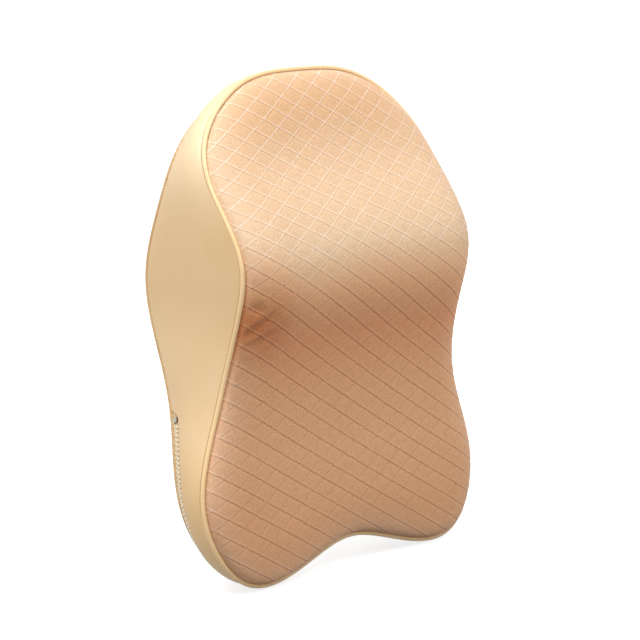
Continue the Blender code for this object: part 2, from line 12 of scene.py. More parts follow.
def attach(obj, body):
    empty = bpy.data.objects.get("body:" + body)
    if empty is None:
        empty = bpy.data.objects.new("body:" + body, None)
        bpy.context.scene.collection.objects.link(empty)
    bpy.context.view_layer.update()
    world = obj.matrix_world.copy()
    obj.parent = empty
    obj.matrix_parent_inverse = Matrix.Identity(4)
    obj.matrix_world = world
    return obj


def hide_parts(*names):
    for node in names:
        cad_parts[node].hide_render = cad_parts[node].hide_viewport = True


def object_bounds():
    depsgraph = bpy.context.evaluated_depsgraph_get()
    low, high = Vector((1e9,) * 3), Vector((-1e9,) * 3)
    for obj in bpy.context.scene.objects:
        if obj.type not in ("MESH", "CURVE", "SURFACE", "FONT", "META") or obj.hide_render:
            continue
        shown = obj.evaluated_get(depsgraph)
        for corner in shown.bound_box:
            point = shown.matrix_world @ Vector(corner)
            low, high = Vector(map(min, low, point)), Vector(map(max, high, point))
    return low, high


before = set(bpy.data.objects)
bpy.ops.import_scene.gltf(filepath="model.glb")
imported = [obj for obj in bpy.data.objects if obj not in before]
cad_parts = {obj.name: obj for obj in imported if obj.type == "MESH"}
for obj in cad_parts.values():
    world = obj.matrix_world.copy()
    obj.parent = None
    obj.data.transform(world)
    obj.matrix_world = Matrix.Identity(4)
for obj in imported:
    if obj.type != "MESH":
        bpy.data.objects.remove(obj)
cad_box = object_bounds()

# Foam core: one block of slow-recovery polyurethane foam, moulded to shape. The whole cover is
# pulled tight over it, so its outline and its side profile give every other piece its place.
MM = 0.001
PILLOW_HEIGHT = 300
REST_HEIGHT = 163          # height of the frame's origin above the pillow's bottom
OUTLINE = [(0, 300), (52, 294), (95, 260), (102.5, 222), (102, 181), (107, 108), (122, 49),
           (97, 4.5), (47, 5), (0, 15.5)]
FRONT_SEAM = [(0, 88), (60, 77), (120, 77), (165, 88), (195, 91), (240, 65), (300, 41)]
REAR_SEAM = [(0, 58), (60, 51), (120, 26), (180, 8), (240, 25), (300, 28)]
REAR_TAPER = 0.955
CREST = np.array([0, 190 - REST_HEIGHT])
FRONT_CROWN, FRONT_ROLL = 11, 30
BACK_CROWN, BACK_ROLL = 14, 70
BACK_FALL = 0.6            # the flat zone falls by about this from its middle to its edge
FLAT_EASE = 1.1            # how softly the back turns into its flat zone
FLAT_MIDDLE = 0.12         # the share of the back, from its middle, that stays quite flat
PANEL_REACH = 75
BAND_BULGE = 3
CORE_DEPTH = 4.2           # how far the block lies below the cover's outer surface
CORE_INSETS = (10, 15, 22)
CORE_FACE = 30             # inset at which the block's front and back faces begin
CORE_MARGIN = 5            # the band's width that the block leaves free at each seam


def spline(knots, values, closed=False):
    """Cubic spline through the values: natural at its ends, or one closed loop."""
    t = np.asarray(knots, float)
    v = np.asarray(values, float)
    n = len(t)
    gap = np.diff(t)
    a = np.zeros((n, n))
    b = np.zeros(v.shape)
    for i in range(1, n - 1):
        a[i, i - 1:i + 2] = gap[i - 1], 2 * (gap[i - 1] + gap[i]), gap[i]
        b[i] = 6 * ((v[i + 1] - v[i]) / gap[i] - (v[i] - v[i - 1]) / gap[i - 1])
    a[0, 0] = a[-1, -1] = 1
    if closed:
        a[0, -1] = -1
        a[-1, -1] = 2 * (gap[0] + gap[-1])
        a[-1, 1] = gap[0]
        a[-1, -2] = gap[-1]
        b[-1] = 6 * ((v[1] - v[0]) / gap[0] - (v[-1] - v[-2]) / gap[-1])
    bend = np.linalg.solve(a, b)

    def at(s):
        s = np.asarray(s, float)
        i = np.clip(np.searchsorted(t, s, side="right") - 1, 0, n - 2)
        p = (t[i + 1] - s) / gap[i]
        q = 1 - p
        step = gap[i]
        if v.ndim > 1:
            p, q, step = p[..., None], q[..., None], step[..., None]
        curl = (p ** 3 - p) * bend[i] + (q ** 3 - q) * bend[i + 1]
        return p * v[i] + q * v[i + 1] + curl * step ** 2 / 6

    return at


front_profile = spline(*zip(*FRONT_SEAM))
rear_profile = spline(*zip(*REAR_SEAM))


def front_depth(z):
    """How far the front seam lies in front of the seat, at a height in the frame, in mm."""
    return front_profile(np.asarray(z) + REST_HEIGHT)


def rear_depth(z):
    return rear_profile(np.asarray(z) + REST_HEIGHT)


def seam_loop(count):
    """Points and outward normals (x, z) at even steps round the front outline, in mm."""
    half = np.array(OUTLINE, float)
    loop = np.concatenate([half, half[1:-1][::-1] * [-1, 1], half[:1]]) - [0, REST_HEIGHT]
    knots = np.concatenate([[0], np.cumsum(np.sqrt(np.hypot(*np.diff(loop, axis=0).T)))])
    fine = spline(knots, loop, closed=True)(np.linspace(0, knots[-1], 8 * count + 1))
    length = np.concatenate([[0], np.cumsum(np.hypot(*np.diff(fine, axis=0).T))])
    even = np.linspace(0, length[-1], count + 1)[:-1]
    points = np.stack([np.interp(even, length, fine[:, k]) for k in (0, 1)], 1)
    along = np.roll(points, -1, axis=0) - np.roll(points, 1, axis=0)
    along /= np.linalg.norm(along, axis=1)[:, None]
    return points, np.stack([-along[:, 1], along[:, 0]], 1)


def swell(reach, roll):
    """Rise of a panel above its seam, from 0 at its edge to 1 past the roll."""
    t = 1 - np.clip(np.asarray(reach, float) / roll, 0, 1)
    return np.sqrt(1 - t * t)


def front_points(seam, normals, inset, share=1.0):
    flat = CREST + (seam - normals * inset - CREST) * share
    rise = FRONT_CROWN * swell(inset + (1 - share) * PANEL_REACH, FRONT_ROLL)
    return np.stack([flat[:, 0], -front_depth(flat[:, 1]) - rise, flat[:, 1]], 1)


def back_points(seam, normals, inset, share=1.0):
    flat = (seam * REAR_TAPER - normals * inset) * share
    rise = BACK_CROWN * swell(inset + (1 - share) * PANEL_REACH, BACK_ROLL)
    resting = -BACK_FALL * max(share - FLAT_MIDDLE, 0)
    y = -FLAT_EASE * np.logaddexp((rear_depth(flat[:, 1]) - rise) / FLAT_EASE, -resting / FLAT_EASE)
    return np.stack([flat[:, 0], y, flat[:, 1]], 1)


def band_points(seam, normals, from_rear, bulge):
    """On the side band: millimetres from the rear seam, and how far it stands out there."""
    rear = seam * REAR_TAPER
    start = np.stack([rear[:, 0], -rear_depth(rear[:, 1]), rear[:, 1]], 1)
    end = np.stack([seam[:, 0], -front_depth(seam[:, 1]), seam[:, 1]], 1)
    width = np.linalg.norm(end - start, axis=1)
    share = from_rear(width) / width
    out = np.stack([normals[:, 0], 0 * share, normals[:, 1]], 1)
    return start + (end - start) * share[:, None] + out * bulge(share, width)[:, None]


def bow(share, width):
    """The band's outward bow between its two seams."""
    return BAND_BULGE * np.sin(math.pi * share)


def rings_mesh(name, rings, first_tip=None, last_tip=None, closed=True):
    """A mesh through rings of points in mm; a tip closes an end."""
    count = len(rings[0])
    verts = [p for ring in rings for p in ring]
    faces = []
    for r in range(len(rings) - 1):
        for k in range(count if closed else count - 1):
            m = (k + 1) % count
            a = r * count
            faces.append((a + k, a + count + k, a + count + m, a + m))
    if first_tip is not None:
        verts.append(first_tip)
        faces += [(k, (k + 1) % count, len(verts) - 1) for k in range(count)]
    if last_tip is not None:
        verts.append(last_tip)
        a = (len(rings) - 1) * count
        faces += [(a + (k + 1) % count, a + k, len(verts) - 1) for k in range(count)]
    mesh = bpy.data.meshes.new(name)
    mesh.from_pydata([Vector(p) * MM for p in verts], [], faces)
    mesh.shade_smooth()
    return mesh


def into_mesh(shape, mesh):
    """Puts an edited shape into a mesh and smooths it."""
    shape.to_mesh(mesh)
    shape.free()
    mesh.shade_smooth()


def add_piece(name, mesh, body="pillow"):
    piece = bpy.data.objects.new(name, mesh)
    bpy.context.scene.collection.objects.link(piece)
    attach(piece, body)
    return piece


def hex_colour(code):
    """Linear RGBA from an sRGB hex value."""
    parts = [int(code[i:i + 2], 16) / 255 for i in (1, 3, 5)]
    return (*[c / 12.92 if c <= 0.04045 else ((c + 0.055) / 1.055) ** 2.4 for c in parts], 1)


def node(tree, kind, settings=None, **links):
    """Adds a shader node. A setting is a property, or an input by its name or number, and a link is
    an output that goes to an input by its name, or to i0, i1, i2 by its number."""
    made = tree.nodes.new("ShaderNode" + kind)
    for key, value in (settings or {}).items():
        if isinstance(key, str) and hasattr(made, key):
            setattr(made, key, value)
        else:
            made.inputs[key].default_value = hex_colour(value) if isinstance(value, str) else value
    for key, source in links.items():
        place = int(key[1:]) if key[1:].isdigit() else key.replace("_", " ")
        tree.links.new(source, made.inputs[place])
    return made


def finish_material(name, **settings):
    """A material with its Principled shader set, and the tree and shader to build on."""
    slot = bpy.data.materials.new(name)
    slot.use_nodes = True
    shader = slot.node_tree.nodes["Principled BSDF"]
    for key, value in settings.items():
        value = hex_colour(value) if isinstance(value, str) else value
        shader.inputs[key.replace("_", " ")].default_value = value
    return slot, slot.node_tree, shader


def feed(shader, **outputs):
    """Links outputs to a shader's inputs."""
    for key, output in outputs.items():
        shader.id_data.links.new(output, shader.inputs[key.replace("_", " ")])


core_seam, core_normals = seam_loop(144)
core_rings = [back_points(core_seam, core_normals, CORE_FACE, share)
              for share in (FLAT_MIDDLE, 0.3, 0.5, 0.75, 1)]
core_rings += [back_points(core_seam, core_normals, inset) for inset in CORE_INSETS[::-1]]
core_rings += [band_points(core_seam, core_normals,
                           lambda w, s=s: CORE_MARGIN + (w - 2 * CORE_MARGIN) * s, bow)
               for s in (0, 0.2, 0.4, 0.6, 0.8, 1)]
core_rings += [front_points(core_seam, core_normals, inset) for inset in CORE_INSETS]
core_rings += [front_points(core_seam, core_normals, CORE_FACE, share) for share in (1, 0.8, 0.6, 0.4, 0.2)]
core_mesh = rings_mesh("foam_block", core_rings,
                       first_tip=back_points(core_seam[:1], core_normals[:1], CORE_FACE, 0)[0],
                       last_tip=front_points(core_seam[:1], core_normals[:1], CORE_FACE, 0)[0])
core_shape = bmesh.new()
core_shape.from_mesh(core_mesh)
bmesh.ops.recalc_face_normals(core_shape, faces=core_shape.faces)
core_shape.normal_update()
for vert, move in [(v, v.normal * CORE_DEPTH * MM) for v in core_shape.verts]:
    vert.co -= move
into_mesh(core_shape, core_mesh)
foam_core = add_piece("foam_block", core_mesh)
# Moulded open-cell foam: matt and pale, with the pits of its cells, about 1.1 mm across.
CELL = 1.1 * MM
foam, tree, shader = finish_material("polyurethane foam, moulded", Roughness=0.95)
place = node(tree, "TexCoord").outputs["Object"]
cells = node(tree, "TexVoronoi", {"Scale": 1 / CELL}, Vector=place)
tone = node(tree, "ValToRGB", Fac=cells.outputs["Distance"])
tone.color_ramp.elements[0].color = hex_colour("#F3E7C4")
tone.color_ramp.elements[1].color = hex_colour("#D9C696")
pits = node(tree, "Bump", {"Strength": 0.5, "Distance": 0.4 * MM}, Height=cells.outputs["Distance"])
feed(shader, Base_Color=tone.outputs["Color"], Normal=pits.outputs["Normal"])
core_mesh.materials.append(foam)
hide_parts("foam_core")

# Front panel: warp-knitted polyester laminated to thin sponge, with a diamond grid of raised
# double threads knitted in. It is cut to the outline and sewn in tight, so it swells off its seam.
GRID_ANGLE = math.radians(30.5)
GRID_PITCH = 10.4
FALLING_GROOVE, FALLING_THREAD = 6.8, 8.0       # where the lines lie, along the grid's axes
RISING_GROOVE, RISING_THREAD = 4.7, 5.9
GRID_OFFSETS = [-0.95, -0.5, -0.2, 0.1, 0.5, 0.85, 1.2, 1.6, 2.1, 3.6, 5.4, 7.3]
GROOVE_DEPTH, GROOVE_WIDTH = 0.22, 0.36
THREAD_RISE, THREAD_WIDTH = 0.1, 0.4
RISING_SHARE = 0.5
PAIR_MIDDLE = 0.6           # from a groove to half-way between it and its thread
CELL_PUFF, PUFF_REACH = 0.12, 2.5
GRID_REACH = 22             # cells of the grid to each side of the middle
WAVER = [(0.08, 5.3, 0.0), (0.06, 8.9, 0.3)]    # the lines aren't quite straight: reach, run, start
WAVER_SHIFT = 3
LINES_START = 1.5           # they fade in over this distance from the panel's edge
CREST_FULLNESS, CREST_PLACE, CREST_SPREAD = 2.8, 7, 20
# The ground's colour from the bottom up is painted light and shade: palest over the crest and the face above
# it, darkest at the waist below.
KNIT_PAINTED_SHADING = [(-135, "#D2A276"), (-95, "#DAAC80"), (-60, "#DBA97C"), (-20, "#D99A6A"),
              (6, "#E1AF81"), (34, "#E1C7A5"), (75, "#E4C6A2"), (115, "#E0B88C")]
TONE_LIFT = 13                          # the waist's painted shade reaches this much higher at the left,
LIFT_START, LIFT_RUN = -55, 45          # growing from this x, over this distance outwards,
MIDDLE_LIFT, MIDDLE_SPREAD = 4, 50      # and a little higher in the middle too
WAIST_SHADE = (-94, -4, 27, 20)         # the deepest painted shade, a darker patch at the waist: x, z, and how far it spreads both ways
PAINTED_SHEEN_START, PAINTED_SHEEN_REACH = 2, 22            # a painted sheen makes the cloth paler near its edge,
RIM_GAP, GAP_SPREAD = -2, 24            # but not at the waist
# Soft creases at the waist on the left: from (x, z), to (x, z), depth and half width.
CREASES = [(-101, -12, -84, 3, 1.4, 1.9), (-96, -17, -79, -8.5, 0.8, 1.7),
           (-101, 8, -90, 4.5, 0.7, 2.4)]
CREASE_START = 3                        # they fade in over this distance from the panel's edge
FOLD_RISE, FOLD_PLACE, FOLD_WIDTH = 0.6, 2.1, 1.4   # the cloth pushed up beside each, to its own size
FRONT_LIP = 2.6
PANEL_EDGE = 1.8
EDGE_STRIP = 1.4            # width of the smooth strip along the edge, in which the rings are closer
EDGE_STEPS = [0.75, 0.5, 0.3, 0.14, 0.04, 0.0]
TUCK = [(1.5, 1.5), (1.25, 0.75)]       # the edge turns in behind the piping: inset, height
TUCK_STEP = 0.8             # cloth taken up by each of those turns
PANEL_HALF = 126            # no cloth lies further out than this,
OUTSIDE = -99.0             # and points there get this inset

heights = np.linspace(-175, 150, 1301)
arc = np.concatenate([[0], np.cumsum(np.hypot(np.diff(heights), np.diff(front_depth(heights))))])
arc -= np.interp(0, heights, arc)
edge_seam, edge_normals = seam_loop(1440)
seam_tree = KDTree(len(edge_seam))
for place, point in enumerate(edge_seam):
    seam_tree.insert((point[0], point[1], 0), place)
seam_tree.balance()


def inset_at(points):
    """Distance inside the front seam, in mm, and the outward direction there, at (x, z) points."""
    near = np.array([seam_tree.find((x, z, 0))[1] for x, z in points])
    normal = edge_normals[near]
    return -((points - edge_seam[near]) * normal).sum(1), normal


# The cloth is longer than the pillow is wide, because it follows the roll at its edge.
roll_steps = np.linspace(0, FRONT_ROLL, 400)
roll_rise = (FRONT_CROWN - FRONT_LIP) * swell(roll_steps, FRONT_ROLL)
roll_length = np.concatenate([[0], np.cumsum(np.hypot(np.diff(roll_steps), np.diff(roll_rise)))])
roll_length += FRONT_ROLL - roll_length[-1]


def cloth_inset(inset):
    """Distance along the cloth for a distance from the seam."""
    return np.where(inset - PANEL_EDGE < FRONT_ROLL,
                    np.interp(inset - PANEL_EDGE, roll_steps, roll_length) + PANEL_EDGE, inset)


def laid_inset(cloth):
    """Distance from the seam for a distance along the cloth."""
    return np.where(cloth - PANEL_EDGE < FRONT_ROLL,
                    np.interp(cloth - PANEL_EDGE, roll_length, roll_steps) + PANEL_EDGE, cloth)


def knit_height(points, inset):
    """The panel's surface without its threads, as y in mm."""
    full = swell(inset - PANEL_EDGE, FRONT_ROLL)
    crest = CREST_FULLNESS * np.exp(-((points[:, 1] - CREST_PLACE) / CREST_SPREAD) ** 2)
    rise = FRONT_LIP + (FRONT_CROWN - FRONT_LIP) * full + crest * full ** 2
    for x0, z0, x1, z1, depth, width in CREASES:
        run = math.hypot(x1 - x0, z1 - z0)
        along = ((points[:, 0] - x0) * (x1 - x0) + (points[:, 1] - z0) * (z1 - z0)) / run
        across = ((points[:, 1] - z0) * (x1 - x0) - (points[:, 0] - x0) * (z1 - z0)) / run
        fade = np.exp(-(np.maximum(0, np.abs(along - run / 2) - run / 4) / (run / 4)) ** 2)
        beside = (across - FOLD_PLACE * width) / (FOLD_WIDTH * width)
        fold = np.exp(-(across / width) ** 2) - FOLD_RISE * np.exp(-beside ** 2)
        rise = rise - depth * fade * fold * np.clip((inset - PANEL_EDGE) / CREASE_START, 0, 1)
    return -front_depth(points[:, 1]) - rise


def off_line(value, line):
    """Signed distance from the nearest line of one family, in mm."""
    return (value - line + GRID_PITCH / 2) % GRID_PITCH - GRID_PITCH / 2


def waver(along):
    """How far a line strays sideways, at a distance along it, in mm."""
    return sum(reach * np.sin(2 * math.pi * (along / run + start)) for reach, run, start in WAVER)


def relief(a, b):
    """A sunk line with a raised thread beside it, for both families, and a slight puff between."""
    height = 0
    near = np.full(len(a), GRID_PITCH)
    for value, groove, thread, share in ((a, FALLING_GROOVE, FALLING_THREAD, 1),
                                         (b, RISING_GROOVE, RISING_THREAD, RISING_SHARE)):
        sunk = np.exp(-(off_line(value, groove) / GROOVE_WIDTH) ** 2)
        raised = np.exp(-(off_line(value, thread) / THREAD_WIDTH) ** 2)
        height = height + share * (THREAD_RISE * raised - GROOVE_DEPTH * sunk)
        near = np.minimum(near, np.abs(off_line(value, groove + PAIR_MIDDLE)))
    return height + CELL_PUFF * (1 - np.exp(-(near / PUFF_REACH) ** 2))


PANEL_LAYERS = ("falling", "rising", "tone", "rim", "shade")    # what the material reads at each point; tone, rim and shade hold painted light and shade and a painted sheen


def make_front_panel():
    """The panel's mesh follows the grid, so that each raised thread has its own row of faces."""
    sine, cosine = math.sin(GRID_ANGLE), math.cos(GRID_ANGLE)
    cells = np.arange(-GRID_REACH, GRID_REACH)
    a_lines = (cells[:, None] * GRID_PITCH + FALLING_GROOVE + np.array(GRID_OFFSETS)).ravel()
    b_lines = (cells[:, None] * GRID_PITCH + RISING_GROOVE + np.array(GRID_OFFSETS)).ravel()
    a, b = np.meshgrid(a_lines, b_lines, indexing="ij")
    shape = a.shape
    x = (a - b).ravel() / (2 * sine)
    s = (a + b).ravel() / (2 * cosine)
    reachable = (np.abs(x) < PANEL_HALF) & (s > arc[0]) & (s < arc[-1])
    z = np.interp(s, arc, heights)
    flat = np.stack([x, z], 1)
    inset = np.full(len(x), OUTSIDE)
    inset[reachable], _ = inset_at(flat[reachable])
    start = float(cloth_inset(PANEL_EDGE + EDGE_STRIP))
    keep = inset > start
    index = np.arange(len(x)).reshape(shape)
    quads = np.stack([index[:-1, :-1], index[1:, :-1], index[1:, 1:], index[:-1, 1:]], -1).reshape(-1, 4)
    inside = keep[quads].sum(1)
    verts, lookup, faces = [], {}, []

    def corner(i):
        if i not in lookup:
            lookup[i] = len(verts)
            verts.append((flat[i, 0], flat[i, 1], a.flat[i], b.flat[i]))
        return lookup[i]

    def crossing(i, j):
        key = (min(i, j), max(i, j))
        if key not in lookup:
            t = (start - inset[i]) / (inset[j] - inset[i])
            lookup[key] = len(verts)
            p = [u + (w - u) * t for u, w in zip((*flat[i], a.flat[i], b.flat[i]),
                                                 (*flat[j], a.flat[j], b.flat[j]))]
            verts.append(tuple(p))
        return lookup[key]

    for quad in quads[inside == 4]:
        faces.append([corner(int(i)) for i in quad])
    for quad in quads[(inside > 0) & (inside < 4)]:
        if inset[quad].min() == OUTSIDE:
            continue
        face = []
        for i, j in zip(quad, np.roll(quad, -1)):
            i, j = int(i), int(j)
            if keep[i]:
                face.append(corner(i))
            if keep[i] != keep[j]:
                face.append(crossing(i, j))
        faces.append(face)
    table = np.array(verts)
    inset, normal = inset_at(table[:, :2])
    flat = table[:, :2] - normal * (laid_inset(inset) - inset)[:, None]
    inset = laid_inset(inset)
    y = knit_height(flat, inset)
    places = np.stack([flat[:, 0], y, flat[:, 1]], 1)
    mesh = bmesh.new()
    layers = [mesh.verts.layers.float.new(name) for name in PANEL_LAYERS]
    layer_a, layer_b = layers[:2]
    made = [mesh.verts.new(Vector(p) * MM) for p in places]
    for v, row in zip(made, table):
        v[layer_a], v[layer_b] = row[2], row[3]
    for face in faces:
        if len(set(face)) > 2:
            mesh.faces.new([made[i] for i in face])
    mesh.normal_update()
    rim = [e for e in mesh.edges if e.is_boundary]
    steps = [(PANEL_EDGE + EDGE_STRIP * step, None) for step in EDGE_STEPS] + TUCK
    for target, lift in steps:
        grown = bmesh.ops.extrude_edge_only(mesh, edges=rim)
        ring = [g for g in grown["geom"] if isinstance(g, bmesh.types.BMVert)]
        rim = [g for g in grown["geom"] if isinstance(g, bmesh.types.BMEdge) and g.is_boundary]
        at = np.array([(v.co.x / MM, v.co.z / MM) for v in ring])
        inset, normal = inset_at(at)
        moved = at + normal * (inset - target)[:, None]
        if lift is None:
            y = knit_height(moved, np.full(len(moved), target))
            spent = cloth_inset(inset) - cloth_inset(np.full(len(moved), target))
        else:
            y = -front_depth(moved[:, 1]) - lift
            spent = np.full(len(moved), TUCK_STEP)
        for v, p, depth, out, length in zip(ring, moved, y, normal, spent):
            v.co = Vector((p[0], depth, p[1])) * MM
            v[layer_a] += (out[0] * sine + out[1] * cosine) * length
            v[layer_b] += (-out[0] * sine + out[1] * cosine) * length
    bmesh.ops.dissolve_degenerate(mesh, edges=mesh.edges, dist=1e-5)
    bmesh.ops.recalc_face_normals(mesh, faces=mesh.faces)
    mesh.normal_update()
    if sum(f.normal.y for f in mesh.faces) > 0:
        bmesh.ops.reverse_faces(mesh, faces=mesh.faces)
        mesh.normal_update()
    verts = list(mesh.verts)
    at = np.array([(v.co.x / MM, v.co.z / MM) for v in verts])
    inset, _ = inset_at(at)
    fade = np.clip((inset - PANEL_EDGE) / LINES_START, 0, 1)
    a, b = (np.array([v[layer] for v in verts]) for layer in (layer_a, layer_b))
    a, b = a + waver(b), b + waver(a + WAVER_SHIFT)
    lift = relief(a, b) * fade
    # Painted shade: the height at which the ground's painted shading is read, lifted at the left and a
    # little in the middle, and a darker painted patch at the waist.
    left = np.clip((LIFT_START - at[:, 0]) / LIFT_RUN, 0, 1)
    tone = at[:, 1] - TONE_LIFT * left ** 2 * (3 - 2 * left)
    tone = tone - MIDDLE_LIFT * np.exp(-(at[:, 0] / MIDDLE_SPREAD) ** 2)
    x, z, wide, high = WAIST_SHADE
    shade = np.exp(-((at[:, 0] - x) / wide) ** 2 - ((at[:, 1] - z) / high) ** 2)
    # A painted sheen near the edge, where the cloth turns away: paler ground and paler threads, but none at
    # the waist.
    rim = np.clip(1 - (inset - PAINTED_SHEEN_START) / PAINTED_SHEEN_REACH, 0, 1) ** 1.6
    rim = rim * (1 - np.exp(-((at[:, 1] - RIM_GAP) / GAP_SPREAD) ** 2))
    normals = [v.normal.copy() for v in verts]
    for v, n, up, *row in zip(verts, normals, lift, a, b, tone, rim, shade):
        v.co += n * up * MM
        for layer, value in zip(layers, row):
            v[layer] = value
    result = bpy.data.meshes.new("knit_front_panel")
    into_mesh(mesh, result)
    return result


knit_mesh = make_front_panel()
front_panel = add_piece("knit_front_panel", knit_mesh)
# Warp-knitted polyester is matt, with a soft pinkish sheen off its raised loops. Its threads are
# glossy filament; their colour holds a painted highlight, palest over the upper part and at the rim,
# and the grooves a painted shade, darkest in the lower part. The real wales are 0.6 mm apart, less than a
# pixel, so they are drawn at 1.3 mm.
WALE, LOOP, STRAY_RUN, CLOUD = 1.3 * MM, 1.1 * MM, 1.8 * MM, 55 * MM
WAVE_RUN = math.pi / 10                 # a wave texture's period at scale 1
knit, tree, shader = finish_material("polyester jacquard, warp knitted", Roughness=0.8, Sheen_Weight=0.3,
                                     Sheen_Roughness=0.4, Sheen_Tint="#F7D8D0")
place = node(tree, "TexCoord").outputs["Object"]
falling, rising, tone, rim, shade = (node(tree, "Attribute", {"attribute_name": name}).outputs["Fac"]
                                     for name in PANEL_LAYERS)
stray = node(tree, "TexNoise", {"Scale": 1 / STRAY_RUN, "Detail": 1}, Vector=place).outputs["Fac"]
STRAY = 0.22            # a thread's edge strays by up to this, in mm
stray = node(tree, "MapRange", {"From Min": 0.3, "From Max": 0.7, "To Min": -STRAY, "To Max": STRAY},
             Value=stray).outputs["Result"]


def line_mask(value, line, half_width):
    """1 on one family of lines, fading to 0 over their half width, in mm."""
    strayed = node(tree, "Math", {"operation": "ADD"}, i0=value, i1=stray).outputs[0]
    placed = node(tree, "Math", {"operation": "SUBTRACT", 1: line}, i0=strayed).outputs[0]
    away = node(tree, "Math", {"operation": "PINGPONG", 1: GRID_PITCH / 2}, i0=placed).outputs[0]
    return node(tree, "MapRange", {"interpolation_type": "SMOOTHSTEP", "From Min": half_width,
                                   "From Max": 0}, Value=away).outputs["Result"]


def lay_tones(ramp, tones):
    """Sets a ramp that runs over the pillow's height to (height in mm, colour) pairs."""
    bands = ramp.color_ramp.elements
    while len(bands) < len(tones):
        bands.new(0.5)
    for element, (at, code) in zip(bands, tones):
        element.position = (at + REST_HEIGHT) / PILLOW_HEIGHT
        element.color = hex_colour(code)


# The ground's colour by height: painted light over the upper part, painted shade at the waist.
level = node(tree, "MapRange", {"From Min": -REST_HEIGHT, "From Max": PILLOW_HEIGHT - REST_HEIGHT},
             Value=tone)
ground = node(tree, "ValToRGB", Fac=level.outputs["Result"])
lay_tones(ground, KNIT_PAINTED_SHADING)
PAINTED_LIGHT_START, PAINTED_LIGHT_END = -10, 45    # heights between which the painted light on threads and grooves goes from least to full
painted_light_by_height = node(tree, "MapRange", {"interpolation_type": "SMOOTHSTEP", "From Min": PAINTED_LIGHT_START,
                                  "From Max": PAINTED_LIGHT_END}, Value=tone).outputs["Result"]
# Painted light: threads paler, rising lines plainer and grooves less dark over the upper part, and a painted
# glint on the threads near the rim.
painted_rim_glint = node(tree, "Math", {"operation": "MULTIPLY", 1: 0.6}, i0=rim)
painted_light = node(tree, "Math", {"operation": "MAXIMUM"}, i0=painted_light_by_height, i1=painted_rim_glint.outputs[0]).outputs[0]
rising_share = node(tree, "Math", {"operation": "MULTIPLY_ADD", 1: 0.55, 2: 0.3}, i0=painted_light)
rising_threads = node(tree, "Math", {"operation": "MULTIPLY"}, i0=rising_share.outputs[0],
                      i1=line_mask(rising, RISING_THREAD, 0.5))
threads = node(tree, "Math", {"operation": "MAXIMUM"}, i0=rising_threads.outputs[0],
               i1=line_mask(falling, FALLING_THREAD, 0.45))
rising_grooves = node(tree, "Math", {"operation": "MULTIPLY", 1: 0.42},
                      i0=line_mask(rising, RISING_GROOVE, 0.45))
grooves = node(tree, "Math", {"operation": "MAXIMUM"}, i0=rising_grooves.outputs[0],
               i1=line_mask(falling, FALLING_GROOVE, 0.55))
ribs = node(tree, "TexWave", {"bands_direction": "X", "Scale": WAVE_RUN / WALE, "Distortion": 2.5,
                              "Detail": 2, "Detail Scale": 4}, Vector=place).outputs["Fac"]
loops = node(tree, "TexNoise", {"Scale": 1 / LOOP, "Detail": 2}, Vector=place).outputs["Fac"]
loops = node(tree, "MapRange", {"From Min": 0.34, "From Max": 0.66}, Value=loops).outputs["Result"]
cloud = node(tree, "TexNoise", {"Scale": 1 / CLOUD, "Detail": 3}, Vector=place).outputs["Fac"]
ground = ground.outputs["Color"]
# Ribs, loops and cloud are the knit's own colour; the shade attribute multiplies in the painted shade at the
# waist.
for pattern, strength, code in ((ribs, 0.12, "#D0A078"), (loops, 0.26, "#B98660"), (cloud, 0.25, "#F6DCC4"),
                                (shade, 1.0, "#E0CAB2")):
    share = node(tree, "Math", {"operation": "MULTIPLY", 1: strength}, i0=pattern)
    ground = node(tree, "Mix", {"data_type": "RGBA", "blend_type": "MULTIPLY", 7: code},
                  i0=share.outputs[0], i6=ground).outputs[2]
# A painted sheen: the ground goes paler and pinker near the rim.
painted_rim_sheen = node(tree, "Math", {"operation": "MULTIPLY", 1: 0.3}, i0=rim)
ground = node(tree, "Mix", {"data_type": "RGBA", 7: "#DDC0A6"}, i0=painted_rim_sheen.outputs[0], i6=ground).outputs[2]
# Painted shade in the grooves, darkest where the painted light is least.
depth = node(tree, "Math", {"operation": "MULTIPLY_ADD", 1: -0.44, 2: 0.6}, i0=painted_light)
painted_groove_shade = node(tree, "Math", {"operation": "MULTIPLY"}, i0=grooves.outputs[0], i1=depth.outputs[0])
ground = node(tree, "Mix", {"data_type": "RGBA", 7: "#8A4A22"}, i0=painted_groove_shade.outputs[0], i6=ground).outputs[2]
# The threads' colour and how much it shows: a painted highlight, palest where the painted light is full.
filament = node(tree, "Mix", {"data_type": "RGBA", 6: "#E2B48C", 7: "#F8E6D8"}, i0=painted_light).outputs[2]
gloss = node(tree, "Math", {"operation": "MULTIPLY_ADD", 1: 0.26, 2: 0.42}, i0=painted_light)
shown = node(tree, "Math", {"operation": "MULTIPLY"}, i0=threads.outputs[0], i1=gloss.outputs[0])
coloured = node(tree, "Mix", {"data_type": "RGBA"}, i0=shown.outputs[0], i6=ground, i7=filament)
relief_height = node(tree, "Math", {"operation": "MULTIPLY_ADD", 1: 0.6}, i0=ribs, i2=loops)
fine = node(tree, "Bump", {"Strength": 0.35, "Distance": 0.25 * MM}, Height=relief_height.outputs[0])
feed(shader, Base_Color=coloured.outputs[2], Normal=fine.outputs["Normal"])
knit_mesh.materials.append(knit)
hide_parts("front_panel")

